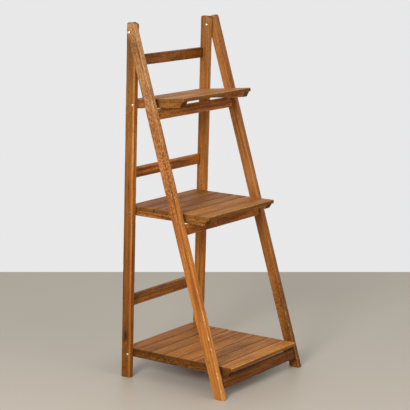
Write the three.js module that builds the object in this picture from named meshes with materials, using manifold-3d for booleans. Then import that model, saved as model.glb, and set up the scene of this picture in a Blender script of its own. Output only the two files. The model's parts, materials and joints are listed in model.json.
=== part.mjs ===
// A folding wooden ladder stand for plants: a rear frame that stands almost upright, a front frame that
// hangs from it on two bolts, and three slatted shelves that hinge on the rear legs and rest on the front
// rungs.
// Millimetres. +X is the right as seen from the front, +Y the back and +Z up, with the floor at z = 0.
import * as THREE from 'three';
import { mergeVertices } from 'three/addons/utils/BufferGeometryUtils.js';
import Module from 'manifold-3d';

const wasm = await Module();
wasm.setup();

// ---- Driving dimensions ----

// The two frames
const PIVOT_HEIGHT = 1067;              // floor to the bolt that both frames hang on
const FRONT_SLANT = 16.5;               // degrees from upright, feet to the front
const REAR_LEAN = 1.9;                  // degrees from upright, feet to the back
const LEG_WIDTH = 33;                   // of a leg, seen from the side
const LEG_THICKNESS = 18;
const FRONT_PIVOT_TO_REAR_EDGE = 7.5;   // bolt centre to the rear edge of a front leg
const REAR_PIVOT_TO_FRONT_EDGE = 9;     // bolt centre to the front edge of a rear leg
// A leg's top: its height over the bolt, and the corners cut off it, along the top and down the edge.
// The rear corner of a front leg is cut nearly plumb, so that it stays within the rear leg's outline.
const FRONT_LEG_TOP = { height: 26, frontCut: [4, 6], rearCut: [9, 24] };
const REAR_LEG_TOP = { height: 27, frontCut: [6, 6], rearCut: [4, 4] };

// The cross pieces
const RAIL_THICKNESS = 12;              // back rails, between the rear legs
const RAIL_TENON = { thickness: 6, height: 22, length: 8 };
const RUNG_HEIGHT = 32;                 // rungs, between the front legs
const RUNG_THICKNESS = 18;
const RUNG_TENON = { thickness: 9, height: 22, length: 10 };

// The shelves: their height is that of the top face over the hinge. A slope in degrees has the front edge
// raised, the overhang is that of the front edge past the rung, rungSetback is how far the rung's face lies
// behind the front edges of its legs, railAbove is the height of the upper edge of the back rail over the
// shelf, and railHeight is that of the rail itself.
const SHELF_LENGTH = 350;
const TOP_SHELF = {
  slats: 4, height: 0.8107 * PIVOT_HEIGHT, slope: 4.8, overhang: 90, hingeToLegEdge: 7,
  rungSetback: 10, railAbove: 130.5, railHeight: 32,
};
const MIDDLE_SHELF = {
  slats: 6, height: 0.5037 * PIVOT_HEIGHT, slope: -0.5, overhang: 74, hingeToLegEdge: 10.5,
  rungSetback: 7, railAbove: 117, railHeight: 32,
};
const BOTTOM_SHELF = {
  slats: 8, height: 0.0848 * PIVOT_HEIGHT, slope: -0.2, overhang: 22, hingeToLegEdge: 9,
  rungSetback: 2, railAbove: 166, railHeight: 36,
};
const SLAT_THICKNESS = 11;
const SLAT_GAP = 1.5;
const BEARER_HEIGHT = 16;
const BEARER_WIDTH = 27;
const BEARER_SETBACK = 6;               // of a bearer's front end from the front edge of the slats
const BEARER_FRONT_CUT = 10;            // how far the end is sawn back under the shelf, at its lower edge
const BEARER_REAR_CUT = 14;
const BEHIND_HINGE = 26.5;              // hinge to the shelf's rear edge
const HINGE_ABOVE_UNDERSIDE = 11.5;

// Bolts and washers
const FRAME_BOLT = { diameter: 5, head: 10, headHeight: 2.4 };
const SHELF_BOLT = { diameter: 4, head: 8, headHeight: 1.8 };
const CAP_DIAMETER = 8;                 // the closed nut on the inner end of a frame bolt
const CAP_HEIGHT = 4;
const CAP_END_WALL = 1;                 // closed end of that nut, up to the bolt's tip
const LEG_WASHER_THICKNESS = 2;         // leaves the shelf bolts' heads room beside the folded front legs
const SHELF_WASHER_THICKNESS = 2.4;
const WASHER_DIAMETER = 12;
const BOLT_END_COVER = 7;               // wood left between a shelf bolt's tip and the bearer's inner face

// Finish of the solids
const FIT = 0.3;                        // clearance between pieces that touch or turn on each other
const EASE = 1.5;                       // chamfer along a leg's edges
const SLAT_EASE = 1;
const ROUND_SIDES = 24;
const CORNER_STEPS = 4;
const DOME_STEPS = 5;

// ---- Places worked out from them ----

const radians = THREE.MathUtils.degToRad;
const slant = -radians(FRONT_SLANT);    // turn about +X that brings an upright leg to the front leg's slant
const lean = radians(REAR_LEAN);

const bearerOutside = SHELF_LENGTH / 2;
const rearLegInside = bearerOutside + SHELF_WASHER_THICKNESS + 2 * FIT;
const rearLegOutside = rearLegInside + LEG_THICKNESS;
const frontLegInside = rearLegOutside + LEG_WASHER_THICKNESS + 2 * FIT;
const frontLegOutside = frontLegInside + LEG_THICKNESS;

// Edges of the legs from the bolt's axis, in the frames' own upright position: y is negative to the front
const frontLeg = { front: FRONT_PIVOT_TO_REAR_EDGE - LEG_WIDTH, rear: FRONT_PIVOT_TO_REAR_EDGE };
const rearLeg = { front: -REAR_PIVOT_TO_FRONT_EDGE, rear: LEG_WIDTH - REAR_PIVOT_TO_FRONT_EDGE };

// A place (y, z) given from the frame bolt, turned with its frame
const turned = (y, z, angle) => new THREE.Vector2(y, z).rotateAround(new THREE.Vector2(), angle);

// z along an upright leg at which the point (y, z) of the turned leg comes to a height above the floor
const alongLeg = (y, height, angle) => (height - PIVOT_HEIGHT - y * Math.sin(angle)) / Math.cos(angle);

const shelfHeight = BEARER_HEIGHT + SLAT_THICKNESS;
const hingeBelowTop = shelfHeight - HINGE_ABOVE_UNDERSIDE;

const SHELVES = [
  { name: 'top', ...TOP_SHELF },
  { name: 'middle', ...MIDDLE_SHELF },
  { name: 'bottom', ...BOTTOM_SHELF },
];

// Each shelf's hinge on the rear leg, the rung that carries it, and its reach to the front
for (const shelf of SHELVES) {
  const slope = radians(shelf.slope);
  shelf.hingeY = rearLeg.front + shelf.hingeToLegEdge;
  shelf.hingeZ = alongLeg(shelf.hingeY, shelf.height - hingeBelowTop / Math.cos(slope), lean);
  shelf.hinge = turned(shelf.hingeY, shelf.hingeZ, lean);
  // The upper front edge of the rung lies just under the shelf's underside: it is where a line down the
  // front leg meets a line under the shelf.
  const down = new THREE.Vector2(-Math.sin(slope), -Math.cos(slope));
  shelf.rungFront = frontLeg.front + shelf.rungSetback;
  const onLeg = turned(shelf.rungFront, 0, slant).sub(shelf.hinge);
  const legDown = turned(0, -1, slant);
  const rungDrop = (HINGE_ABOVE_UNDERSIDE + FIT - onLeg.dot(down)) / legDown.dot(down);
  shelf.rungTop = -rungDrop;
  const edge = onLeg.addScaledVector(legDown, rungDrop);
  shelf.reach = edge.dot(new THREE.Vector2(-Math.cos(slope), Math.sin(slope))) + shelf.overhang;
}

// ---- Building solids ----

// three.js geometry to a manifold-3d solid and back, for cuts and joins
function toSolid(geometry) {
  const bare = geometry.clone();
  bare.deleteAttribute('normal');
  bare.deleteAttribute('uv');
  const welded = mergeVertices(bare, 1e-4);
  return new wasm.Manifold(new wasm.Mesh({
    numProp: 3,
    vertProperties: new Float32Array(welded.attributes.position.array),
    triVerts: new Uint32Array(welded.index.array),
  }));
}

function toGeometry(solid) {
  const mesh = solid.getMesh();
  const geometry = new THREE.BufferGeometry();
  geometry.setAttribute('position', new THREE.BufferAttribute(mesh.vertProperties, 3));
  geometry.setIndex(new THREE.BufferAttribute(mesh.triVerts, 1));
  const flat = geometry.toNonIndexed();
  flat.computeVertexNormals();
  return flat;
}

function cut(geometry, tools) {
  return toGeometry(tools.reduce((solid, tool) => solid.subtract(toSolid(tool)), toSolid(geometry)));
}

function join(geometry, others) {
  return toGeometry(others.reduce((solid, other) => solid.add(toSolid(other)), toSolid(geometry)));
}

// A shape drawn in (y, z) and carried along X, centred on x = 0, with its long edges chamfered by ease
function carryAlongX(shape, length, ease = 0) {
  const geometry = new THREE.ExtrudeGeometry(shape, {
    depth: length - 2 * ease,
    bevelEnabled: ease > 0,
    bevelThickness: ease,
    bevelSize: ease,
    bevelOffset: -ease,
    bevelSegments: 1,
    curveSegments: CORNER_STEPS,
  });
  geometry.translate(0, 0, ease - length / 2);
  const axes = new THREE.Matrix4().makeBasis(
    new THREE.Vector3(0, 1, 0),
    new THREE.Vector3(0, 0, 1),
    new THREE.Vector3(1, 0, 0),
  );
  return geometry.applyMatrix4(axes);
}

// A board's section: y0 to y1 and z0 to z1, with its four corners rounded
function sectionShape(y0, y1, z0, z1, radius) {
  const shape = new THREE.Shape();
  const quarter = Math.PI / 2;
  shape.moveTo(y0 + radius, z0);
  shape.lineTo(y1 - radius, z0);
  shape.absarc(y1 - radius, z0 + radius, radius, -quarter, 0);
  shape.lineTo(y1, z1 - radius);
  shape.absarc(y1 - radius, z1 - radius, radius, 0, quarter);
  shape.lineTo(y0 + radius, z1);
  shape.absarc(y0 + radius, z1 - radius, radius, quarter, 2 * quarter);
  shape.lineTo(y0, z0 + radius);
  shape.absarc(y0 + radius, z0 + radius, radius, 2 * quarter, 3 * quarter);
  return shape;
}

function boxAt(x0, x1, y0, y1, z0, z1) {
  const box = new THREE.BoxGeometry(x1 - x0, y1 - y0, z1 - z0);
  return box.translate((x0 + x1) / 2, (y0 + y1) / 2, (z0 + z1) / 2);
}

// A round hole along X, from x0 to x1
function holeAt(diameter, x0, x1, y, z) {
  const hole = new THREE.CylinderGeometry(diameter / 2, diameter / 2, x1 - x0, ROUND_SIDES);
  hole.rotateZ(Math.PI / 2);
  return hole.translate((x0 + x1) / 2, y, z);
}

// A turned piece whose profile is given as [radius, x] pairs from its inner end to its outer end
function turnedAlongX(profile) {
  const points = profile.map(([radius, x]) => new THREE.Vector2(radius, x));
  const lathe = new THREE.LatheGeometry(points, ROUND_SIDES);
  return lathe.rotateZ(-Math.PI / 2);
}

// ---- Materials ----

const stainedTimber = (color) => new THREE.MeshStandardMaterial({ color, roughness: 0.5, metalness: 0 });
const legTimber = stainedTimber(0xa8703f);
const crossTimber = stainedTimber(0x8a5a30);
const shelfTimber = stainedTimber(0x9c6c46);
const steel = new THREE.MeshStandardMaterial({ color: 0xd4cec6, roughness: 0.35, metalness: 1 });

function piece(name, geometry, material) {
  const mesh = new THREE.Mesh(geometry, material.clone());
  mesh.name = name;
  return mesh;
}

// Left is -X and right is +X, seen from the front
const SIDES = [
  { name: 'left', sign: -1 },
  { name: 'right', sign: 1 },
];

// ---- Legs ----

// The side view of an upright leg: corners cut off the top, foot sawn to stand flat on the floor
function legShape(edges, top, angle) {
  const { height, frontCut, rearCut } = top;
  const shape = new THREE.Shape();
  shape.moveTo(edges.front, alongLeg(edges.front, 0, angle));
  shape.lineTo(edges.rear, alongLeg(edges.rear, 0, angle));
  shape.lineTo(edges.rear, height - rearCut[1]);
  shape.lineTo(edges.rear - rearCut[0], height);
  shape.lineTo(edges.front + frontCut[0], height);
  shape.lineTo(edges.front, height - frontCut[1]);
  return shape;
}

// The socket that a cross piece's tenon sits in, on the inner face of a leg whose inner face is at x = inside
function mortise(tenon, middleY, middleZ, inside, sign) {
  const depth = tenon.length + FIT;
  const halfY = tenon.thickness / 2 + FIT;
  const halfZ = tenon.height / 2 + FIT;
  const near = sign * (inside - depth);
  const far = sign * (inside + depth);
  return boxAt(
    Math.min(near, far), Math.max(near, far),
    middleY - halfY, middleY + halfY,
    middleZ - halfZ, middleZ + halfZ,
  );
}

const rails = SHELVES.map((shelf) => {
  const middleY = rearLeg.rear - RAIL_THICKNESS / 2;
  const topEdge = alongLeg(middleY, shelf.height + shelf.railAbove, lean);
  return { name: shelf.name, height: shelf.railHeight, middleY, middleZ: topEdge - shelf.railHeight / 2 };
});
const rungs = SHELVES.map((shelf) => ({
  name: shelf.name,
  height: RUNG_HEIGHT,
  middleY: shelf.rungFront + RUNG_THICKNESS / 2,
  middleZ: shelf.rungTop - RUNG_HEIGHT / 2,
}));

// holes: [bolt, y, z] for each bolt through the leg; crosses: the rails or rungs let into it
function makeLeg(name, side, inside, shape, holes, crosses, tenon) {
  const centre = side.sign * (inside + LEG_THICKNESS / 2);
  const board = carryAlongX(shape, LEG_THICKNESS, EASE).translate(centre, 0, 0);
  const bores = holes.map(([bolt, y, z]) => (
    holeAt(bolt.diameter + 2 * FIT, centre - LEG_THICKNESS, centre + LEG_THICKNESS, y, z)
  ));
  const mortises = crosses.map((cross) => mortise(tenon, cross.middleY, cross.middleZ, inside, side.sign));
  return piece(`${name}_${side.name}`, cut(board, [...bores, ...mortises]), legTimber);
}

// ---- Cross pieces ----

// A rail or rung between the inner faces of two legs, with a tenon at each end
function makeCross(name, cross, thickness, tenon, inside) {
  const shoulder = inside - FIT;
  const section = sectionShape(
    cross.middleY - thickness / 2, cross.middleY + thickness / 2,
    cross.middleZ - cross.height / 2, cross.middleZ + cross.height / 2,
    EASE,
  );
  const board = carryAlongX(section, 2 * shoulder);
  const tenons = boxAt(
    -inside - tenon.length + FIT, inside + tenon.length - FIT,
    cross.middleY - tenon.thickness / 2, cross.middleY + tenon.thickness / 2,
    cross.middleZ - tenon.height / 2, cross.middleZ + tenon.height / 2,
  );
  return piece(name, join(board, [tenons]), crossTimber);
}

// ---- Bolts, nuts and washers ----

// A bolt with a domed head on the outside at x = outside and its plain end at x = tip
function makeBolt(name, side, bolt, outside, tip) {
  const shank = bolt.diameter / 2;
  const head = bolt.head / 2;
  const seat = outside + FIT;
  const rim = seat + bolt.headHeight * 0.3;
  const profile = [[0, tip], [shank, tip], [shank, seat], [head, seat], [head, rim]];
  for (let i = 1; i < DOME_STEPS; i += 1) {
    const angle = (i / DOME_STEPS) * (Math.PI / 2);
    profile.push([head * Math.cos(angle), rim + bolt.headHeight * 0.7 * Math.sin(angle)]);
  }
  profile.push([0, seat + bolt.headHeight]);
  const geometry = turnedAlongX(profile);
  if (side.sign < 0) geometry.rotateZ(Math.PI);
  return piece(name, geometry, steel);
}

// The closed nut on the inner end of a frame bolt: a short cup that the bolt's end sits in
function makeCap(name, side, inside, tip) {
  const bore = FRAME_BOLT.diameter / 2 + FIT;
  const radius = CAP_DIAMETER / 2;
  const mouth = inside - FIT;
  const base = mouth - CAP_HEIGHT;
  const profile = [
    [0, base], [radius * 0.6, base], [radius, base + radius * 0.4],
    [radius, mouth], [bore, mouth], [bore, tip - FIT], [0, tip - FIT],
  ];
  const geometry = turnedAlongX(profile);
  if (side.sign < 0) geometry.rotateZ(Math.PI);
  return piece(name, geometry, steel);
}

// A washer round a bolt, between x = from and x = from + thickness
function makeWasher(name, side, bolt, from, thickness) {
  const bore = bolt.diameter / 2 + FIT;
  const radius = WASHER_DIAMETER / 2;
  const to = from + thickness;
  const profile = [[bore, from], [radius, from], [radius, to], [bore, to], [bore, from]];
  const geometry = turnedAlongX(profile);
  if (side.sign < 0) geometry.rotateZ(Math.PI);
  return piece(name, geometry, steel);
}

// ---- Shelves ----

// The side view of a bearer, from its hinge: flat above and below, sawn back under the shelf at both ends
function bearerShape(reach) {
  const low = -HINGE_ABOVE_UNDERSIDE;
  const high = low + BEARER_HEIGHT - FIT;
  const front = BEARER_SETBACK - reach;
  const shape = new THREE.Shape();
  shape.moveTo(front + BEARER_FRONT_CUT, low);
  shape.lineTo(BEHIND_HINGE - BEARER_REAR_CUT, low);
  shape.lineTo(BEHIND_HINGE, high);
  shape.lineTo(front, high);
  return shape;
}

function makeShelf(shelf) {
  const group = new THREE.Group();
  const tip = bearerOutside - BEARER_WIDTH + BOLT_END_COVER;
  for (const side of SIDES) {
    const centre = side.sign * (bearerOutside - BEARER_WIDTH / 2);
    const board = carryAlongX(bearerShape(shelf.reach), BEARER_WIDTH, SLAT_EASE).translate(centre, 0, 0);
    const ends = [side.sign * (tip - FIT), side.sign * (bearerOutside + BEARER_WIDTH)];
    const hole = holeAt(SHELF_BOLT.diameter + 2 * FIT, Math.min(...ends), Math.max(...ends), 0, 0);
    group.add(piece(`${shelf.name}_shelf_bearer_${side.name}`, cut(board, [hole]), shelfTimber));
  }
  const depth = shelf.reach + BEHIND_HINGE;
  const width = (depth - (shelf.slats - 1) * SLAT_GAP) / shelf.slats;
  const under = BEARER_HEIGHT - HINGE_ABOVE_UNDERSIDE;
  for (let i = 0; i < shelf.slats; i += 1) {
    const front = -shelf.reach + i * (width + SLAT_GAP);
    const section = sectionShape(front, front + width, under, under + SLAT_THICKNESS, SLAT_EASE);
    group.add(piece(`${shelf.name}_shelf_slat_${i + 1}`, carryAlongX(section, SHELF_LENGTH), shelfTimber));
  }
  group.position.set(0, shelf.hinge.x, PIVOT_HEIGHT + shelf.hinge.y);
  group.rotation.x = -radians(shelf.slope);
  return group;
}

// ---- The rear frame, with the bolts that everything hangs on ----

const rearFrame = new THREE.Group();
rearFrame.position.z = PIVOT_HEIGHT;
rearFrame.rotation.x = lean;
for (const side of SIDES) {
  const shape = legShape(rearLeg, REAR_LEG_TOP, lean);
  const holes = [[FRAME_BOLT, 0, 0], ...SHELVES.map((shelf) => [SHELF_BOLT, shelf.hingeY, shelf.hingeZ])];
  const capTip = rearLegInside - CAP_HEIGHT + CAP_END_WALL;
  rearFrame.add(
    makeLeg('rear_leg', side, rearLegInside, shape, holes, rails, RAIL_TENON),
    makeBolt(`frame_bolt_${side.name}`, side, FRAME_BOLT, frontLegOutside, capTip),
    makeCap(`frame_bolt_nut_${side.name}`, side, rearLegInside, capTip),
    makeWasher(`frame_washer_${side.name}`, side, FRAME_BOLT, rearLegOutside + FIT, LEG_WASHER_THICKNESS),
  );
  for (const shelf of SHELVES) {
    const tip = bearerOutside - BEARER_WIDTH + BOLT_END_COVER;
    const near = bearerOutside + FIT;
    const fasteners = [
      makeBolt(`${shelf.name}_shelf_bolt_${side.name}`, side, SHELF_BOLT, rearLegOutside, tip),
      makeWasher(`${shelf.name}_shelf_washer_${side.name}`, side, SHELF_BOLT, near, SHELF_WASHER_THICKNESS),
    ];
    for (const fastener of fasteners) {
      fastener.position.set(0, shelf.hingeY, shelf.hingeZ);
      rearFrame.add(fastener);
    }
  }
}
for (const rail of rails) {
  rearFrame.add(makeCross(`back_rail_${rail.name}`, rail, RAIL_THICKNESS, RAIL_TENON, rearLegInside));
}

// ---- The front frame ----

const frontFrame = new THREE.Group();
frontFrame.position.z = PIVOT_HEIGHT;
frontFrame.rotation.x = slant;
for (const side of SIDES) {
  const shape = legShape(frontLeg, FRONT_LEG_TOP, slant);
  frontFrame.add(makeLeg('front_leg', side, frontLegInside, shape, [[FRAME_BOLT, 0, 0]], rungs, RUNG_TENON));
}
for (const rung of rungs) {
  frontFrame.add(makeCross(`front_rung_${rung.name}`, rung, RUNG_THICKNESS, RUNG_TENON, frontLegInside));
}

// ---- The whole stand, with its origin on the floor under the middle of its outline ----

const stand = new THREE.Group();
stand.add(rearFrame, frontFrame, ...SHELVES.map(makeShelf));
stand.updateMatrixWorld(true);
const outline = new THREE.Box3().setFromObject(stand, true);
stand.position.y = -(outline.min.y + outline.max.y) / 2;
stand.updateMatrixWorld(true);

export default stand;
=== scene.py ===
import json
import math

import bpy
import numpy as np
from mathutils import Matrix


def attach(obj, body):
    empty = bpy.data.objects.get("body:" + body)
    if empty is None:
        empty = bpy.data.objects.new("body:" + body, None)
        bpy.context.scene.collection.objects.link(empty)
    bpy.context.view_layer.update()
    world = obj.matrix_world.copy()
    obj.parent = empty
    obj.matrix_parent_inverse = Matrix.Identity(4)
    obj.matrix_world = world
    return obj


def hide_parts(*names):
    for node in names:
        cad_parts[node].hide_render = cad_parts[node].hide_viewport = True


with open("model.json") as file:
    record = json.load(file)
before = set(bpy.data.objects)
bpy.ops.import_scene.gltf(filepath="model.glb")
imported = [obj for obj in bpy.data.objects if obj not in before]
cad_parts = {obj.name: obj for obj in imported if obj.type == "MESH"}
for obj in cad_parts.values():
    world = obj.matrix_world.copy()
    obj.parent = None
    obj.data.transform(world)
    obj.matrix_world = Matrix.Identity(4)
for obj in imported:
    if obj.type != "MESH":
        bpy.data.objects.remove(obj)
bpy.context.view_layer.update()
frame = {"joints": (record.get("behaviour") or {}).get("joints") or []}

# ---------------------------------------------------------------------------
# Legs. Four strips of stained hardwood, 33 by 18 mm, sawn square, eased along the arrises with a plane
# and then rubbed pale there by use. The feet are sawn to stand flat, the tops have their corners cut off.
# The front pair hangs outside the rear pair on two bolts.
# ---------------------------------------------------------------------------

hinge = {joint["child"]: np.array(joint["pos_m"]) for joint in frame["joints"]}
top_bolt = hinge["front_frame"]

# Each pair as it stands upright on the top bolt: the edges' places, the top's height, how far the cut
# corners run in and drop, the inner faces' distance from the middle, the slant, and the body.
LEG_THICKNESS = 0.018
FRONT_LEG = {
    "front": -0.0255, "rear": 0.0075, "height": 0.026,
    "front_cut": (0.004, 0.006), "rear_cut": (0.009, 0.024),
    "inside": 0.1986, "angle": math.radians(-16.5), "body": "front_frame",
}
REAR_LEG = {
    "front": -0.009, "rear": 0.024, "height": 0.027,
    "front_cut": (0.006, 0.006), "rear_cut": (0.004, 0.004),
    "inside": 0.178, "angle": math.radians(1.9), "body": "rear_frame",
}
LEG_PAIRS = {"front": FRONT_LEG, "rear": REAR_LEG}
SIDES = {"left": -1, "right": 1}


def tilted(origin, angle):
    """Takes points of a frame that stands upright on origin to their place: a turn by angle about X,
    then a shift."""
    c, s = math.cos(angle), math.sin(angle)
    turn = np.array([[1, 0, 0], [0, c, -s], [0, s, c]])
    return lambda points: points @ turn.T + origin


def bell(distance, half_width):
    """1 at distance 0, and nearly 0 beyond twice the half width."""
    return np.exp(-((distance / half_width) ** 2))


def smooth_noise(rng, along, spacing):
    """Values from -1 to 1 that wander along a board: random heights at even spacing, joined by smooth
    steps."""
    place = (along - along.min()) / spacing
    heights = rng.uniform(-1, 1, int(place.max()) + 3)
    cell = place.astype(int)
    t = place - cell
    t = t * t * (3 - 2 * t)
    return heights[cell] * (1 - t) + heights[cell + 1] * t


def nicks(rng, along, every, depth):
    """Small dents along an arris: bells of 1.5 to 5 mm half width and random depth, one for each stretch
    of every metres."""
    length = along.max() - along.min()
    count = max(1, round(length / every))
    centre = rng.uniform(along.min(), along.max(), count)
    half_width = rng.uniform(0.0015, 0.005, count)
    deep = depth * rng.uniform(0.1, 1, count) ** 2
    return (deep * bell(along[:, None] - centre, half_width)).max(1)


ARC_STEPS, SIDE_STEPS = 4, 5
ARC_MARGIN = 0.35
BESIDE_ARC = 0.0012


def section(width, thickness, corner):
    """A board's outline as points (b, c) round a rectangle with rounded corners, with each point's corner
    number and its share of that corner: the most at the middle of the arc, 0 on the flat sides. The sides
    have points close beside each arc, which keep them flat."""
    points, corners, shares = [], [], []
    half_b, half_c = width / 2 - corner, thickness / 2 - corner
    centres = np.array([(half_b, half_c), (-half_b, half_c), (-half_b, -half_c), (half_b, -half_c)])

    def on_arc(k, degrees):
        angle = np.radians(90 * k + degrees)
        return centres[k % 4] + corner * np.array([np.cos(angle), np.sin(angle)])

    for k in range(4):
        for i, degrees in enumerate(np.linspace(0, 90, ARC_STEPS + 1)):
            points.append(on_arc(k, degrees))
            corners.append(k)
            shares.append(math.sin(math.pi * (i + ARC_MARGIN) / (ARC_STEPS + 2 * ARC_MARGIN)))
        here, there = points[-1], on_arc(k + 1, 0)
        beside = BESIDE_ARC / np.linalg.norm(there - here)
        for t in np.linspace(beside, 1 - beside, SIDE_STEPS):
            points.append(here * (1 - t) + there * t)
            corners.append(k if t < 0.5 else (k + 1) % 4)
            shares.append(0.0)
    return np.array(points), np.array(corners), np.array(shares)


END_RINGS = 4
NEAR_END = np.array([0.003, 0.006, 0.010, 0.015])
EVEN_FROM, EVEN_STEP = 0.02, 0.008


def stations(outline, half, start, end, end_round):
    """The sections along a board: each point's distance along, its place (b, c), and the section's share
    of the sawn end. The first and last few draw in on a quarter circle of radius end_round."""
    first, last = start(*outline.T), end(*outline.T)
    length = float((last - first).mean())
    turn = np.linspace(0, math.pi / 2, END_RINGS)
    rings = [outline * (1 - inset / half) for inset in end_round * (1 - np.sin(turn))]
    from_end = end_round * (1 - np.cos(turn))
    low = [start(*ring.T) + gap for ring, gap in zip(rings, from_end)]
    high = [end(*ring.T) - gap for ring, gap in zip(rings, from_end)]
    ring_shares = np.linspace(1, 0, END_RINGS)

    near_end = NEAR_END / length
    evenly = np.linspace(EVEN_FROM / length, 1 - EVEN_FROM / length, max(3, round(length / EVEN_STEP)))
    between = np.concatenate([near_end, evenly, 1 - near_end[::-1]])
    middle = [(first + end_round) * (1 - t) + (last - end_round) * t for t in between]

    along = np.array([*low, *middle, *high[::-1]])
    across = np.array([*rings, *[outline] * len(between), *rings[::-1]])
    end_shares = np.concatenate([ring_shares, np.zeros(len(between)), ring_shares[::-1]])
    return along, across, end_shares


SLOW_EVERY, QUICK_EVERY, NICK_EVERY, SHRINK_EVERY = 0.09, 0.017, 0.05, 0.05
SLOW_SHARE, QUICK_SHARE, NICK_SHARE, SHRINK_SHARE = 0.35, 0.25, 1.6, 0.0016


def worn_in(rng, along, across, outline, corners, shares, wear):
    """The sections with their arrises worn in by slow noise, quick noise and nicks, and shrunk a little
    here and there."""
    mean_along = along.mean(1)
    worn = np.zeros((len(along), 4))
    for k in range(4):
        slow = 0.5 + 0.5 * smooth_noise(rng, mean_along, SLOW_EVERY)
        quick = 0.5 + 0.5 * smooth_noise(rng, mean_along, QUICK_EVERY)
        dents = nicks(rng, mean_along, NICK_EVERY, wear * NICK_SHARE)
        worn[:, k] = wear * (SLOW_SHARE * slow + QUICK_SHARE * quick) + dents
    inward = worn[:, corners] * shares
    diagonal = -np.sign(outline) * math.sqrt(0.5)
    shrink = SHRINK_SHARE * np.abs(smooth_noise(rng, mean_along, SHRINK_EVERY))
    return (across + inward[..., None] * diagonal) * (1 - shrink[:, None, None])


CAP_RINGS = (0.8, 0.6, 0.42, 0.25, 0.1)


def skin(along, across, start, end):
    """The points and faces of the tube of sections, closed at each end by rings that shrink to a hub."""
    rows, count = along.shape
    index = np.arange(rows * count).reshape(rows, count)
    points = [np.dstack([along, across]).reshape(-1, 3)]

    def band(low, high):
        return np.stack([low, np.roll(low, -1), np.roll(high, -1), high], -1)

    faces = [face for low, high in zip(index, index[1:]) for face in band(low, high).tolist()]
    total = rows * count
    for rim, surface, turned_round in ((0, start, True), (-1, end, False)):
        ring, cap = index[rim], []
        for scale in CAP_RINGS:
            smaller = across[rim] * scale
            points.append(np.column_stack([surface(*smaller.T), smaller]))
            here = total + np.arange(count)
            cap += band(ring, here).tolist()
            ring, total = here, total + count
        points.append([[surface(*np.zeros((2, 1)))[0], 0, 0]])
        cap += np.stack([ring, np.roll(ring, -1), np.full(count, total)], -1).tolist()
        total += 1
        faces += [face[::-1] for face in cap] if turned_round else cap
    return np.concatenate(points), faces


def added(name, data):
    """An object for a mesh, lamp or camera, linked into the scene."""
    thing = bpy.data.objects.new(name, data)
    bpy.context.scene.collection.objects.link(thing)
    return thing


def finish_piece(piece, material, node, body):
    """Gives a piece its material and says which node it replaces, and the body it rides on."""
    piece.data.materials.append(material)
    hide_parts(node)
    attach(piece, body)


def even(value):
    """The same value all over a board."""
    return lambda along, b, c: np.full(along.shape, float(value))


NO_KNOT = (99.0, 0.0, 0.0)
ALONG_TREE, PITH_ASIDE, PITH_BEHIND = (0, 40), (0.03, 0.06), (0.02, 0.04)
GREEN_SHARE = 0.25


def board(name, place, axes, middle, width, thickness, start, end, seed, wear,
          corner=0.0017, end_round=0.0012, tone=1.0, narrow=1.0, ends=1.0, shade=even(1),
          fade=even(0), narrow_fade=0.0, rub=even(1), specks=even(1), knot=NO_KNOT, gap_shade_levels=(0, 0)):
    """A sawn board as a tube of rounded, worn sections closed by two caps.

    A section point (b, c) runs along the board from start(b, c) to end(b, c), so an end may be sawn on a
    slant or have its corners off. axes gives the frame's axis for the length, the width and the thickness,
    and middle the board's place on the last two.

    The depth of the colour is tone, times narrow on the narrow faces, ends on the ends and
    shade(along, b, c). Besides the stain it holds painted light, in the tone of the pale right bearers,
    and painted shade, in the shade of some legs. fade by place and narrow_fade on the narrow faces make it
    greyer, or redder below 0; fade also holds the painted light on those bearers and a painted sheen at
    the top of the front left leg. rub and specks say by place how much the arrises are rubbed and how
    thick the dark flecks stand, knot where a knot's heart is, and dirty how dark the narrow faces and
    arrises of low
    and high b are: painted shade in the gaps between slats.

    The point attributes are grain, the place in the board in metres, shifted to a spot of the tree of its
    own, knot, the way from the knot's heart, edge, end, speck, dirt, the painted shade along the gaps, and
    tint, the colour of the stain with the painted light, shade and sheen."""
    rng = np.random.default_rng(seed)
    outline, corners, shares = section(width, thickness, corner)
    along, across, end_shares = stations(outline, np.array([width, thickness]) / 2, start, end, end_round)
    across = worn_in(rng, along, across, outline, corners, shares, wear)
    points, faces = skin(along, across, start, end)

    columns = ["xyz".index(axis) for axis in axes]
    local = np.zeros_like(points)
    local[:, columns] = points + (0, *middle)
    if np.linalg.det(np.eye(3)[columns]) < 0:
        faces = [face[::-1] for face in faces]
    mesh = bpy.data.meshes.new(name)
    mesh.from_pydata(place(local).tolist(), [], faces)
    mesh.shade_smooth()

    in_caps = len(points) - along.size
    edge = np.concatenate([np.tile(shares, len(along)), np.zeros(in_caps)])
    on_end = np.concatenate([np.repeat(end_shares, len(outline)), np.ones(in_caps)])
    height = rng.uniform(*ALONG_TREE)
    aside = rng.choice([-1, 1]) * rng.uniform(*PITH_ASIDE)
    spot = np.array([height, aside, rng.uniform(*PITH_BEHIND)])
    on_narrow = np.clip((np.abs(points[:, 1]) - width / 2 + corner) / corner, 0, 1) * (1 - on_end)
    # Besides the stain, depth and grey hold painted light and shade where tone, shade and fade give them.
    depth = tone * shade(*points.T) * (1 + (narrow - 1) * on_narrow) * (1 + (ends - 1) * on_end)
    grey = fade(*points.T) + narrow_fade * on_narrow
    tint = depth[:, None] * np.column_stack([np.ones(len(points)), 1 + GREEN_SHARE * grey, 1 + grey])
    attributes = {
        "grain": points + spot,
        "knot": points - np.array(knot),
        "edge": edge * rub(*points.T),
        "end": on_end,
        "speck": specks(*points.T),
        # Painted shade on the narrow faces and arrises along the gaps between slats.
        "dirt": np.maximum(on_narrow, edge) * np.where(points[:, 1] < 0, *gap_shade_levels),
        "tint": tint,
    }
    for label, values in attributes.items():
        kind, key = ("FLOAT_VECTOR", "vector") if values.ndim == 2 else ("FLOAT", "value")
        attribute = mesh.attributes.new(label, kind, "POINT")
        attribute.data.foreach_set(key, values.astype(np.float32).reshape(-1))
    return added(name, mesh)


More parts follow.
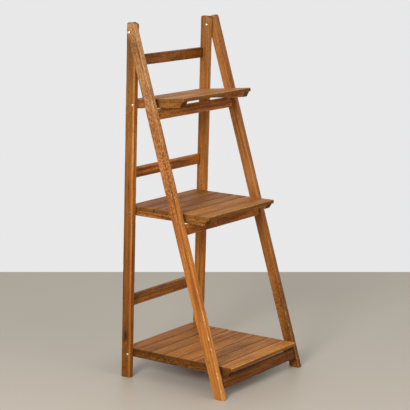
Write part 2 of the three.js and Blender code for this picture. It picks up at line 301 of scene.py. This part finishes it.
class Socket:
    """One output of a material's nodes. Sums, products and powers of sockets add Math nodes."""

    def __init__(self, finish, output):
        self.finish, self.output = finish, output

    def _math(self, operation, a, b):
        return self.finish.add("ShaderNodeMath", {"operation": operation}, {0: a, 1: b})

    def __add__(self, other):
        return self._math("ADD", self, other)

    __radd__ = __add__

    def __sub__(self, other):
        return self._math("SUBTRACT", self, other)

    def __rsub__(self, other):
        return self._math("SUBTRACT", other, self)

    def __mul__(self, other):
        return self._math("MULTIPLY", self, other)

    __rmul__ = __mul__

    def __pow__(self, other):
        return self._math("POWER", self, other)


class Finish:
    """A material, with one method that adds any node and short forms of it for the nodes that recur."""

    MIX_A, MIX_B, MIX_RESULT = 6, 7, 2

    def __init__(self, name):
        self.material = bpy.data.materials.new(name)
        self.material.use_nodes = True
        self.nodes = self.material.node_tree.nodes
        self.links = self.material.node_tree.links
        self.shader = self.nodes["Principled BSDF"]

    def add(self, kind, settings=None, sockets=None, out=0):
        """Adds a node: its settings first, with a ramp's stops among them, then the values or links of its
        sockets."""
        node = self.nodes.new(kind)
        for key, value in (settings or {}).items():
            if key == "stops":
                ramp = node.color_ramp
                while len(ramp.elements) < len(value):
                    ramp.elements.new(0.5)
                for element, (position, colour) in zip(ramp.elements, value):
                    element.position = position
                    element.color = (*colour, 1)
            else:
                setattr(node, key, value)
        for key, value in (sockets or {}).items():
            if isinstance(value, Socket):
                self.links.new(value.output, node.inputs[key])
            else:
                node.inputs[key].default_value = value
        return Socket(self, node.outputs[out])

    def attribute(self, name, out):
        return self.add("ShaderNodeAttribute", {"attribute_name": name}, out=out)

    def vector_math(self, operation, a, b=(0, 0, 0), out=0):
        return self.add("ShaderNodeVectorMath", {"operation": operation}, {0: a, 1: b}, out)

    def noise(self, where, repeats, detail=2.0, roughness=0.5, out=0):
        """Noise that repeats so many times per metre on each axis."""
        stretched = self.vector_math("MULTIPLY", where, repeats)
        sockets = {"Vector": stretched, "Scale": 1.0, "Detail": detail, "Roughness": roughness}
        return self.add("ShaderNodeTexNoise", {}, sockets, out)

    def ramp(self, value, low, high):
        """0 at low, 1 at high, and a smooth step between them."""
        sockets = {"Value": value, "From Min": low, "From Max": high}
        return self.add("ShaderNodeMapRange", {"interpolation_type": "SMOOTHSTEP"}, sockets)

    def mix(self, share, a, b, blend="MIX"):
        a, b = (c if isinstance(c, Socket) else (*c, 1) for c in (a, b))
        settings = {"data_type": "RGBA", "blend_type": blend}
        sockets = {0: share, self.MIX_A: a, self.MIX_B: b}
        return self.add("ShaderNodeMix", settings, sockets, self.MIX_RESULT)

    def bump(self, height, strength, distance):
        sockets = {"Height": height, "Strength": strength, "Distance": distance}
        return self.add("ShaderNodeBump", {}, sockets)

    def set(self, **sockets):
        for key, value in sockets.items():
            slot = self.shader.inputs[key.replace("_", " ")]
            if isinstance(value, Socket):
                self.links.new(value.output, slot)
            else:
                slot.default_value = value


def times(colour, factor):
    return tuple(factor * c for c in colour)


# How strongly each of these shows in the timber, from 0 to 1.
RED_PATCHES, CHIPS, PORES, KNOT_SHADE, KNOT_HEART, SAWN_ENDS = 0.6, 0.36, 0.4, 0.6, 0.8, 0.85
RED_CAST = (0.95, 0.82, 0.70)
KNOT_STRETCH = (0.38, 1, 1)
MEAN_FIGURE = 1.72


def timber(name, deep, mid, pale, rubbed, fleck, streak, rub, sheen=0.44):
    """Stained hardwood. All patterns are read along the board's own grain, which bends round a knot: rings
    about a pith outside the board, broad, middling and fine streaks, patches where the stain went deeper,
    dark flecks of 3 by 6 mm, paler chips and pores of 1 by 8 mm. The dirt mask darkens the slats' sides
    and arrises along the gaps between them: painted shade in the gaps. The arrises are rubbed pale where
    noise lets the edge mask through. The sawn ends are dark and dotted."""
    wood = Finish(name)
    grain, knot, tint = (wood.attribute(label, "Vector") for label in ("grain", "knot", "tint"))
    edge, end, speck, dirt = (wood.attribute(label, "Fac") for label in ("edge", "end", "speck", "dirt"))

    from_knot = wood.vector_math("LENGTH", wood.vector_math("MULTIPLY", knot, KNOT_STRETCH), out="Value")
    near_knot = wood.ramp(from_knot, 0.026, 0.003)
    wander = wood.noise(grain, (2.6, 16, 16), out="Color")
    bent = wood.vector_math("ADD", grain, wood.vector_math("MULTIPLY", wander, (0.0, 0.013, 0.013)))
    towards_knot = wood.add(
        "ShaderNodeVectorMath", {"operation": "SCALE"},
        {0: wood.vector_math("MULTIPLY", knot, (0, 1, 1)), "Scale": near_knot * 0.7},
    )
    bent = wood.vector_math("SUBTRACT", bent, towards_knot)

    rings = wood.add(
        "ShaderNodeTexWave",
        {"wave_type": "RINGS", "rings_direction": "X", "wave_profile": "SAW"},
        {"Vector": bent, "Scale": 30.0, "Distortion": 0.8, "Detail": 1.0, "Detail Scale": 1.5},
        out="Fac",
    )
    patches = wood.noise(bent, (7, 20, 20))
    broad = wood.noise(bent, (1.6, 45, 45))
    middling = wood.noise(bent, (5, 150, 150), roughness=0.55)
    fine = wood.noise(bent, (14, 480, 480), roughness=0.6)
    figure = 0.7 * patches + 0.8 * broad + 1.0 * middling + 0.8 * fine + 0.14 * rings - MEAN_FIGURE

    reddish = wood.ramp(wood.noise(bent, (4, 14, 14), detail=1.0), 0.40, 0.64)
    crowded = wood.noise(bent, (9, 30, 30), detail=1.0)
    fleck_noise = wood.noise(bent, (160, 320, 320), roughness=0.6)
    flecks = wood.ramp(fleck_noise + 0.35 * crowded + 0.1 * speck, 0.79, 0.90)
    chip_noise = wood.noise(bent, (130, 300, 300), detail=1.0, roughness=0.6)
    chips = wood.ramp(chip_noise + 0.12 * speck, 0.77, 0.86)
    pores = wood.ramp(wood.noise(bent, (120, 1100, 1100), detail=1.0), 0.56, 0.68)
    dots = wood.ramp(wood.noise(grain, (300, 800, 800), roughness=0.7), 0.40, 0.62)
    rubbed_spots = wood.ramp(wood.noise(grain, (95, 160, 160), detail=3.0, roughness=0.6), 0.53, 0.64)

    heart = times(deep, 0.3)
    stops = [(0.26, deep), (0.5, mid), (0.76, pale)]
    colour = wood.add("ShaderNodeValToRGB", {"stops": stops}, {"Fac": figure * streak + 0.5})
    colour = wood.mix(reddish * RED_PATCHES, colour, RED_CAST, "MULTIPLY")
    colour = wood.mix(flecks * fleck, colour, heart)
    colour = wood.mix(chips * CHIPS, colour, rubbed)
    colour = wood.mix(pores * PORES, colour, heart)
    colour = wood.mix(near_knot ** 1.5 * KNOT_SHADE, colour, times(deep, 0.7))
    colour = wood.mix(wood.ramp(from_knot, 0.0075, 0.0030) * KNOT_HEART, colour, heart)
    colour = wood.mix(end * SAWN_ENDS, colour, wood.mix(dots, times(deep, 0.5), times(mid, 0.8)))
    # Painted shade in the gaps between slats, on their sides and arrises.
    colour = wood.mix(dirt, colour, heart)
    colour = wood.mix(edge * (0.16 + 0.84 * rubbed_spots) * rub, colour, rubbed)
    # The tint holds the stain's colour, with painted light on some bearers and painted shade and sheen on
    # some legs.
    colour = wood.mix(1.0, colour, tint, "MULTIPLY")

    height = fine * 0.5 + middling * 0.4 - pores * 0.9 - flecks * 0.5
    wood.set(
        Base_Color=colour,
        Roughness=sheen + 0.12 * fine + 0.15 * pores + 0.15 * end,
        Normal=wood.bump(height, 0.4, 0.0004),
        Specular_IOR_Level=0.18,
        Specular_Tint=(1.0, 0.74, 0.50, 1),
    )
    return wood.material


leg_timber = timber(
    "stained_leg_timber",
    deep=(0.195, 0.062, 0.011), mid=(0.450, 0.166, 0.036),
    pale=(0.640, 0.285, 0.085), rubbed=(0.85, 0.58, 0.33),
    fleck=0.6, rub=0.8, streak=0.58,
)


def leg_ends(shape):
    """The length lines of an upright leg: the foot, which the floor cuts, and the top with its two cut
    corners."""
    half = (shape["rear"] - shape["front"]) / 2
    middle = (shape["rear"] + shape["front"]) / 2
    (front_run, front_drop), (rear_run, rear_drop) = shape["front_cut"], shape["rear_cut"]

    def foot(b, c):
        return (-top_bolt[2] - (b + middle) * math.sin(shape["angle"])) / math.cos(shape["angle"])

    def top(b, c):
        before = np.clip(1 - (b + half) / front_run, 0, 1)
        behind = np.clip(1 - (half - b) / rear_run, 0, 1)
        return shape["height"] - front_drop * before - rear_drop * behind

    return foot, top


def down_leg(stops):
    """A value that is given at a few distances below the top bolt and changes evenly between them."""
    below, values = zip(*stops)
    return lambda along, b, c: np.interp(-along, below, values)


def leg(pair, side, seed, depth, grey, rub, specks, shade=even(1), **look):
    """One leg. depth, grey, rub and specks are given down the leg: how deep and how grey the colour is,
    how much the arrises are rubbed and how thick the dark flecks stand. The colour is the stain's, with
    painted shade low on the front right leg and at the top of the rear left leg, and a painted sheen
    greying the top of the front left leg."""
    shape = LEG_PAIRS[pair]
    middle = (shape["rear"] + shape["front"]) / 2
    x = SIDES[side] * (shape["inside"] + LEG_THICKNESS / 2)
    piece = board(
        f"{pair}_leg_timber_{side}", tilted(top_bolt, shape["angle"]), "zyx", (middle, x),
        shape["rear"] - shape["front"], LEG_THICKNESS, *leg_ends(shape), seed=seed, wear=0.0009,
        shade=lambda *point: down_leg(depth)(*point) * shade(*point), fade=down_leg(grey),
        rub=down_leg(rub), specks=down_leg(specks), **look,
    )
    finish_piece(piece, leg_timber, f"{pair}_leg_{side}", shape["body"])


def paler_band(along, b, c):
    """A strip of paler sapwood along the front arris, over a quarter of the side face, deeper brown behind
    it, and a pale spot under the knot."""
    strip = np.clip((-0.009 - b) / 0.0015, 0, 1)
    spot = bell(along + 0.957, 0.008) * bell(b + 0.001, 0.003)
    return 0.88 + 0.85 * strip + 0.9 * spot


WORN_LOW = ((0.65, 0.2), (0.925, 1.3))
FEW = ((0, 0.3),)
# The greyer top of this leg is a painted sheen.
leg("front", "left", seed=11, tone=0.99, narrow=1.14,
    depth=((0.2, 0.86), (0.4, 0.98), (0.7, 0.9), (0.9, 1.1), (1.1, 0.96)),
    grey=((0, 1.2), (0.3, 0.3), (0.7, -0.2)), rub=WORN_LOW,
    specks=((0, 0.2), (0.04, 0.85), (0.14, 0.85), (0.2, 1.5), (0.3, 1.2), (0.52, 1.2), (0.72, 0)))
# The darker lower part of this leg is partly stain and partly painted shade under the shelves.
leg("front", "right", seed=12, tone=0.90, narrow=0.83,
    depth=((0, 0.94), (0.3, 1.15), (0.5, 0.96), (0.7, 0.9), (0.9, 0.64)),
    grey=((0, 0.3), (0.5, 0.15), (0.95, -0.35)), rub=WORN_LOW, specks=((0.72, 0.2), (0.84, 1.4)))
# The darker top of this leg is painted shade from the front leg that covers it.
leg("rear", "left", seed=13, tone=0.57, narrow=0.76,
    depth=((0.04, 0.65), (0.18, 0.97), (0.45, 1.2), (0.85, 0.86)),
    grey=((0.1, -0.15), (0.6, -0.22), (1.0, -0.5)), rub=FEW, specks=FEW,
    shade=paler_band, knot=(-0.935, 0.001, -0.009))
leg("rear", "right", seed=14, tone=0.93,
    depth=((0.1, 0.85), (0.45, 1.08), (0.75, 1.05), (0.92, 0.82)),
    grey=((0, 0.3), (0.2, -0.08), (0.8, -0.27)), rub=FEW, specks=FEW)


# ---------------------------------------------------------------------------
# Back rails. Three thin boards of darker wood between the rear legs, set flush with the legs' rear edges
# and let into them, so that only the shoulders show, with a dark line round each joint.
# ---------------------------------------------------------------------------

rail_timber = timber(
    "stained_rail_timber",
    deep=(0.080, 0.021, 0.003), mid=(0.245, 0.079, 0.011),
    pale=(0.430, 0.165, 0.030), rubbed=(0.55, 0.30, 0.12),
    fleck=0.7, rub=0.6, streak=0.7, sheen=0.40,
)
JOINT_GAP = 0.0004
JOINT_DARKNESS, JOINT_REACH = 0.6, 0.006


def flat_end(at):
    """An end sawn square, at a distance along the board."""
    return lambda b, c: np.full(b.shape, float(at))


def cross_piece(kind, shelf_name, pair, y, z, width, thickness, seed, **look):
    """A rail or rung between the legs of a pair: its length along X, its width upright. It is darker close
    to each joint."""
    shape = LEG_PAIRS[pair]
    reach = shape["inside"] - JOINT_GAP

    def dark_joints(along, b, c):
        return 1 - JOINT_DARKNESS * bell(reach - np.abs(along), JOINT_REACH)

    piece = board(
        f"{kind}_timber_{shelf_name}", tilted(top_bolt, shape["angle"]), "xzy", (z, y), width, thickness,
        flat_end(-reach), flat_end(reach), seed=seed, wear=0.0006, end_round=0.0008, shade=dark_joints,
        **look,
    )
    finish_piece(piece, rail_timber, f"{kind}_{shelf_name}", shape["body"])


PIVOT_HEIGHT = 1.067
SHELVES = {
    "top": {"height": 0.8107 * PIVOT_HEIGHT, "rail_above": 0.1305, "rail_height": 0.032},
    "middle": {"height": 0.5037 * PIVOT_HEIGHT, "rail_above": 0.117, "rail_height": 0.032},
    "bottom": {"height": 0.0848 * PIVOT_HEIGHT, "rail_above": 0.166, "rail_height": 0.036},
}
RAIL_THICKNESS = 0.012
RAIL_TONE = {"top": 1.02, "middle": 1.95, "bottom": 0.9}

for k, (shelf_name, shelf) in enumerate(SHELVES.items()):
    lean = REAR_LEG["angle"]
    y = REAR_LEG["rear"] - RAIL_THICKNESS / 2
    above_bolt = shelf["height"] + shelf["rail_above"] - top_bolt[2]
    upper_edge = (above_bolt - y * math.sin(lean)) / math.cos(lean)
    cross_piece(
        "back_rail", shelf_name, "rear", y, upper_edge - shelf["rail_height"] / 2,
        shelf["rail_height"], RAIL_THICKNESS, seed=21 + k, tone=RAIL_TONE[shelf_name],
    )


# ---------------------------------------------------------------------------
# Front rungs. Three stouter boards between the front legs, each just under a shelf: the shelf's bearers
# lie on its upper front arris.
# ---------------------------------------------------------------------------

RUNG_HEIGHT, RUNG_THICKNESS = 0.032, 0.018
RUNG_STAIN = {
    "top": {"tone": 1.5, "fade": even(0)}, "middle": {"tone": 1.63, "fade": even(-0.35)},
    "bottom": {"tone": 0.63, "fade": even(-0.85)},
}
BEARER_HEIGHT = 0.016
HINGE_ABOVE_UNDERSIDE = 0.0115
CLEARANCE = 0.0003

SHELVES["top"].update(slats=4, slope=4.8, overhang=0.090, rung_setback=0.010)
SHELVES["middle"].update(slats=6, slope=-0.5, overhang=0.074, rung_setback=0.007)
SHELVES["bottom"].update(slats=8, slope=-0.2, overhang=0.022, rung_setback=0.002)

for k, (shelf_name, shelf) in enumerate(SHELVES.items()):
    slant, slope = FRONT_LEG["angle"], math.radians(shelf["slope"])
    leg_down = np.array([math.sin(slant), -math.cos(slant)])
    leg_back = np.array([math.cos(slant), math.sin(slant)])
    shelf_down = np.array([-math.sin(slope), -math.cos(slope)])
    shelf_forward = np.array([-math.cos(slope), math.sin(slope)])
    rung_front = FRONT_LEG["front"] + shelf["rung_setback"]
    from_hinge = top_bolt[1:] + rung_front * leg_back - hinge[f"{shelf_name}_shelf"][1:]
    drop = (HINGE_ABOVE_UNDERSIDE + CLEARANCE - from_hinge @ shelf_down) / (leg_down @ shelf_down)
    shelf["reach"] = float((from_hinge + drop * leg_down) @ shelf_forward) + shelf["overhang"]
    cross_piece(
        "front_rung", shelf_name, "front", rung_front + RUNG_THICKNESS / 2, -drop - RUNG_HEIGHT / 2,
        RUNG_HEIGHT, RUNG_THICKNESS, seed=31 + k, **RUNG_STAIN[shelf_name],
    )


# ---------------------------------------------------------------------------
# Shelf bearers. Two sticks under each shelf. Both ends are sawn back under the slats, and each stick hangs
# on a bolt in the rear leg.
# ---------------------------------------------------------------------------

bearer_timber = timber(
    "stained_bearer_timber",
    deep=(0.160, 0.048, 0.009), mid=(0.365, 0.130, 0.026),
    pale=(0.520, 0.215, 0.055), rubbed=(0.62, 0.38, 0.18),
    fleck=0.6, rub=0.5, streak=1.3, sheen=0.48,
)

SHELF_LENGTH = 0.350
BEARER_WIDTH = 0.027
BEARER_SETBACK, BEARER_FRONT_CUT, BEARER_REAR_CUT = 0.006, 0.010, 0.014
BEHIND_HINGE = 0.0265
PLANED = {"corner": 0.0012, "end_round": 0.0008}
# The right bearers of the top and middle shelf get painted light: their shaded inner faces are made pale.
BEARER_STAIN_AND_PAINTED_LIGHT = {
    "top": {
        "left": {"tone": 0.65, "ends": 0.6},
        # Painted light: this inner face is made pale and grey, as if lit from the right.
        "right": {"tone": 2.9, "ends": 0.2, "fade": even(1.2)},
    },
    "middle": {
        "left": {"tone": 0.94, "ends": 0.6},
        # Painted light: this inner face is made pale and grey, as if lit from the right.
        "right": {"tone": 2.4, "ends": 0.2, "fade": even(1.2)},
    },
    "bottom": {
        "left": {"tone": 0.44, "ends": 0.6, "fade": even(-0.6)},
        "right": {"tone": 0.9, "ends": 0.3},
    },
}
BEARER_SPECKS = {"top": even(1.0), "middle": even(1.3), "bottom": even(2.2)}


def slanted(at, cut):
    """A bearer's end, sawn back by cut at the lower edge."""
    return lambda b, c: at + cut * (0.5 - c / BEARER_HEIGHT)


for k, (shelf_name, shelf) in enumerate(SHELVES.items()):
    body = f"{shelf_name}_shelf"
    shelf["place"] = tilted(hinge[body], -math.radians(shelf["slope"]))
    z = BEARER_HEIGHT / 2 - HINGE_ABOVE_UNDERSIDE - CLEARANCE / 2
    start = slanted(BEARER_SETBACK - shelf["reach"], BEARER_FRONT_CUT)
    end = slanted(BEHIND_HINGE, -BEARER_REAR_CUT)
    for j, (side, sign) in enumerate(SIDES.items()):
        x = sign * (SHELF_LENGTH - BEARER_WIDTH) / 2
        piece = board(
            f"{body}_bearer_timber_{side}", shelf["place"], "yxz", (x, z),
            BEARER_WIDTH, BEARER_HEIGHT - CLEARANCE, start, end, seed=41 + 2 * k + j, wear=0.0006,
            specks=BEARER_SPECKS[shelf_name], **PLANED, **BEARER_STAIN_AND_PAINTED_LIGHT[shelf_name][side],
        )
        finish_piece(piece, bearer_timber, f"{body}_bearer_{side}", body)


# ---------------------------------------------------------------------------
# Slats. Planed boards side by side across the bearers, with a gap of 1.5 mm between them. Their stain has
# worn unevenly, so each has a tone of its own.
# ---------------------------------------------------------------------------

shelf_timber = timber(
    "stained_shelf_timber",
    deep=(0.175, 0.056, 0.009), mid=(0.370, 0.139, 0.024),
    pale=(0.520, 0.225, 0.050), rubbed=(0.72, 0.46, 0.24),
    fleck=0.3, rub=0.6, streak=0.75, sheen=0.48,
)

SLAT_THICKNESS = 0.011
SLAT_GAP = 0.0015

# tones go from the front slat to the rear one, and grey from the front one's to the rear one's.
# seams is how dark the sides and arrises along the gaps between slats are made: painted shade in the gaps.
SLAT_STAIN_AND_GAP_SHADE = {
    "top": {
        "tones": (1.38, 1.48, 1.48, 1.6), "grey": (0.35, 0.35),
        "ends": 0.65, "narrow": 0.29, "seams": 0.5,
    },
    "middle": {
        "tones": (1.15, 1.45, 1.08, 0.92, 0.98, 1.04), "grey": (0.08, -0.1),
        "ends": 0.85, "narrow": 0.34, "seams": 0.85,
    },
    "bottom": {
        "tones": (1.40, 1.0, 1.02, 1.17, 1.13, 0.84, 0.95, 0.92), "grey": (0.0, -0.5),
        "ends": 0.5, "narrow": 0.44, "seams": 0.36,
    },
}
SLAT_NARROW_FADE = -0.75


def worn_front(along, b, c):
    """The upper front arris, where hands and pots pass, is rubbed the most."""
    return np.where((b < 0) & (c > 0), 4.0, 0.5)


for k, (shelf_name, shelf) in enumerate(SHELVES.items()):
    body = f"{shelf_name}_shelf"
    stain = SLAT_STAIN_AND_GAP_SHADE[shelf_name]
    last = shelf["slats"] - 1
    width = (shelf["reach"] + BEHIND_HINGE - last * SLAT_GAP) / shelf["slats"]
    z = BEARER_HEIGHT - HINGE_ABOVE_UNDERSIDE + SLAT_THICKNESS / 2
    for i, tone in enumerate(stain["tones"]):
        y = -shelf["reach"] + i * (width + SLAT_GAP) + width / 2
        piece = board(
            f"{body}_slat_timber_{i + 1}", shelf["place"], "xyz", (y, z), width, SLAT_THICKNESS,
            flat_end(-SHELF_LENGTH / 2), flat_end(SHELF_LENGTH / 2), seed=60 + 10 * k + i, wear=0.0005,
            tone=tone, narrow=stain["narrow"], ends=stain["ends"], narrow_fade=SLAT_NARROW_FADE,
            fade=even(np.interp(i, (0, last), stain["grey"])), rub=worn_front if i == 0 else even(1),
            # Painted shade on the sides and arrises along the gaps between slats.
            gap_shade_levels=(stain["seams"] * (i > 0), stain["seams"] * (i < last)), **PLANED,
        )
        finish_piece(piece, shelf_timber, f"{body}_slat_{i + 1}", body)


# ---------------------------------------------------------------------------
# Bolts, nuts and washers. Steel bolts with low round heads: two that carry both frames, with a closed nut
# on the inner end, and one for each bearer. Washers keep the turning pieces apart.
# ---------------------------------------------------------------------------

def bolt_steel(name, bare, stained, stain):
    """Zinc-bright steel with fine scratches, where stain and dirt have dried in spots."""
    steel = Finish(name)
    where = steel.add("ShaderNodeTexCoord", out="Object")
    scratches = steel.noise(where, (900, 2500, 2500), detail=3.0, roughness=0.6)
    spot_noise = steel.noise(where, (400, 400, 400), detail=3.0, roughness=0.6)
    spots = steel.ramp(spot_noise, 0.62 - 0.3 * stain, 0.80 - 0.3 * stain)
    steel.set(
        Base_Color=steel.mix(spots * 0.8, bare, stained),
        Metallic=0.9,
        Roughness=0.24 + 0.18 * scratches + 0.25 * spots,
        Normal=steel.bump(scratches, 0.15, 0.0001),
    )
    return steel.material


bright_steel = bolt_steel("bright_steel", bare=(0.72, 0.64, 0.56), stained=(0.40, 0.28, 0.18), stain=0.1)
dull_steel = bolt_steel("dull_steel", bare=(0.32, 0.24, 0.16), stained=(0.13, 0.065, 0.025), stain=0.65)
TURN_STEPS = 40


def turned_piece(kind, side, centre, profile):
    """A lathe-turned piece about a line along X: profile is (radius, x outwards) from its inner end to its
    outer end, carried round in even steps. Points on the axis are shared, and a profile that starts off
    the axis closes on itself as a ring."""
    sign = SIDES[side]
    angles = np.linspace(0, 2 * math.pi, TURN_STEPS, endpoint=False)
    rows, points = [], []
    for radius, x in profile:
        if radius == 0:
            rows.append(np.full(TURN_STEPS, len(points)))
            points.append((sign * x, 0.0, 0.0))
        else:
            rows.append(len(points) + np.arange(TURN_STEPS))
            points += [(sign * x, radius * math.cos(a), radius * math.sin(a)) for a in angles]
    if profile[0][0] > 0:
        rows.append(rows[0])
    faces = []
    for low, high in zip(rows, rows[1:]):
        for corners in zip(low, np.roll(low, -1), np.roll(high, -1), high):
            face = [int(v) for n, v in enumerate(corners) if v != corners[n - 1]]
            faces.append(face if sign > 0 else face[::-1])
    mesh = bpy.data.meshes.new(f"{kind}_steel_{side}")
    mesh.from_pydata((np.array(points) + centre).tolist(), [], faces)
    mesh.shade_smooth()
    steel = dull_steel if kind.startswith("middle") or "washer" in kind else bright_steel
    finish_piece(added(mesh.name, mesh), steel, f"{kind}_{side}", "rear_frame")


RIM_HEIGHT, RIM_CHAMFER, CHAMFER_HEIGHT = 0.25, 0.04, 0.05
DOME_STEPS = np.linspace(0, math.pi / 2, 9)[1:-1]


def bolt_profile(tip, seat, shank, head, height):
    """Shank, the flat underside of the head, a short rim with a chamfered lower arris, and a low dome."""
    rim = seat + RIM_HEIGHT * height
    dome = [(head * math.cos(t), rim + (1 - RIM_HEIGHT) * height * math.sin(t)) for t in DOME_STEPS]
    chamfer = [(head * (1 - RIM_CHAMFER), seat), (head, seat + CHAMFER_HEIGHT * height)]
    return [(0, tip), (shank, tip), (shank, seat), *chamfer, (head, rim), *dome, (0, seat + height)]


def ring_profile(bore, radius, near, thickness):
    """A flat ring with its outer arrises broken."""
    soft = 0.15 * thickness
    far = near + thickness
    outer = [(radius - soft, near), (radius, near + soft), (radius, far - soft), (radius - soft, far)]
    return [(bore, near), *outer, (bore, far)]


NUT_RADIUS, NUT_HEIGHT, NUT_GRIP, NUT_DOME = 0.004, 0.004, 0.003, 0.0022
NUT_STEPS = np.linspace(0, math.pi / 2, 7)[1:]


def nut_profile(bore, mouth, floor):
    """A closed nut: a domed back, a straight rim at the mouth, and a blind bore down to its floor."""
    base = mouth - NUT_HEIGHT
    dome = [(NUT_RADIUS * math.sin(t), base + NUT_DOME * (1 - math.cos(t))) for t in NUT_STEPS]
    return [(0, base), *dome, (NUT_RADIUS, mouth), (bore, mouth), (bore, floor), (0, floor)]


FRAME_SHANK, FRAME_BORE, FRAME_HEAD, FRAME_HEAD_HEIGHT = 0.0025, 0.0028, 0.005, 0.0024
SHELF_SHANK, SHELF_BORE, SHELF_HEAD, SHELF_HEAD_HEIGHT = 0.002, 0.0023, 0.004, 0.0018
WASHER_RADIUS, FRAME_WASHER, SHELF_WASHER = 0.006, 0.002, 0.0024
IN_BEARER = 0.007

rear_inside = REAR_LEG["inside"]
rear_outside = rear_inside + LEG_THICKNESS
front_outside = FRONT_LEG["inside"] + LEG_THICKNESS
for side in SIDES:
    tip = rear_inside - NUT_GRIP
    mouth = rear_inside - CLEARANCE
    fasteners = [
        ("frame_bolt", top_bolt,
         bolt_profile(tip, front_outside + CLEARANCE, FRAME_SHANK, FRAME_HEAD, FRAME_HEAD_HEIGHT)),
        ("frame_bolt_nut", top_bolt,
         nut_profile(FRAME_BORE, mouth, tip - CLEARANCE)),
        ("frame_washer", top_bolt,
         ring_profile(FRAME_BORE, WASHER_RADIUS, rear_outside + CLEARANCE, FRAME_WASHER)),
    ]
    for shelf_name in SHELVES:
        centre = hinge[f"{shelf_name}_shelf"]
        tip = SHELF_LENGTH / 2 - BEARER_WIDTH + IN_BEARER
        fasteners += [
            (f"{shelf_name}_shelf_bolt", centre,
             bolt_profile(tip, rear_outside + CLEARANCE, SHELF_SHANK, SHELF_HEAD, SHELF_HEAD_HEIGHT)),
            (f"{shelf_name}_shelf_washer", centre,
             ring_profile(SHELF_BORE, WASHER_RADIUS, SHELF_LENGTH / 2 + CLEARANCE, SHELF_WASHER)),
        ]
    for kind, centre, profile in fasteners:
        turned_piece(kind, side, centre, profile)


# ---------------------------------------------------------------------------
# Stage, light and camera. A plain pale floor that ends in a line behind the stand, under a pale surround,
# a large soft lamp from the left and above, a weaker one from the front, and the camera where the
# photograph was taken from.
# ---------------------------------------------------------------------------

VIEW_TURN, VIEW_DOWN = 54.39, 10.83
FLOOR_BEHIND, FLOOR_REACH = 1.36, 12
LIGHT_LEVEL, SEEN_LEVEL = 0.50, 0.81

away = np.array([math.sin(math.radians(VIEW_TURN)), math.cos(math.radians(VIEW_TURN))])
across = np.array([away[1], -away[0]])
floor_corners = [
    away * far + across * aside
    for far, first_side in ((-FLOOR_REACH, -1), (FLOOR_BEHIND, 1))
    for aside in (first_side * FLOOR_REACH, -first_side * FLOOR_REACH)
]
floor_mesh = bpy.data.meshes.new("floor")
floor_mesh.from_pydata([(x, y, 0) for x, y in floor_corners], [], [(0, 1, 2, 3)])
floor_finish = Finish("pale_floor")
floor_finish.set(Base_Color=(0.51, 0.455, 0.375, 1), Roughness=0.46, Specular_IOR_Level=0.3)
floor_mesh.materials.append(floor_finish.material)
added("floor", floor_mesh)

surround = bpy.data.worlds.new("surround")
bpy.context.scene.world = surround
surround.use_nodes = True
nodes, link = surround.node_tree.nodes, surround.node_tree.links.new
rays = nodes.new("ShaderNodeLightPath")
seen = rays.outputs["Is Camera Ray"]
for kind in ("Is Glossy Ray", "Is Transmission Ray"):
    either = nodes.new("ShaderNodeMath")
    either.operation = "MAXIMUM"
    link(seen, either.inputs[0])
    link(rays.outputs[kind], either.inputs[1])
    seen = either.outputs[0]
strength = nodes.new("ShaderNodeMapRange")
strength.inputs["To Min"].default_value = LIGHT_LEVEL
strength.inputs["To Max"].default_value = SEEN_LEVEL
link(seen, strength.inputs["Value"])
link(strength.outputs[0], nodes["Background"].inputs["Strength"])
nodes["Background"].inputs["Color"].default_value = (1, 1, 1, 1)


def lamp(name, place, target, size, power):
    """A round lamp that faces its target."""
    data = bpy.data.lights.new(name, "AREA")
    data.shape = "DISK"
    data.size = size
    data.energy = power
    x, y, z = np.array(target, float) - np.array(place, float)
    light = added(name, data)
    light.location = place
    light.rotation_euler = (math.atan2(math.hypot(x, y), -z), 0, math.atan2(y, x) - math.pi / 2)


lamp("key_lamp", place=(-3.3, -0.8, 1.9), target=(0, 0, 0.45), size=1.3, power=100)
lamp("front_lamp", place=(-0.4, -3.4, 2.2), target=(0, 0, 0.5), size=2.0, power=36)

camera_data = bpy.data.cameras.new("camera")
camera_data.sensor_width = 36
camera_data.lens = 134.78
camera = added("camera", camera_data)
camera.location = (-3.7683, -2.8194 + top_bolt[1], 1.4172)
camera.rotation_euler = (math.radians(90 - VIEW_DOWN), 0, math.radians(-VIEW_TURN))
bpy.context.scene.camera = camera
bpy.context.scene.view_settings.view_transform = "Standard"
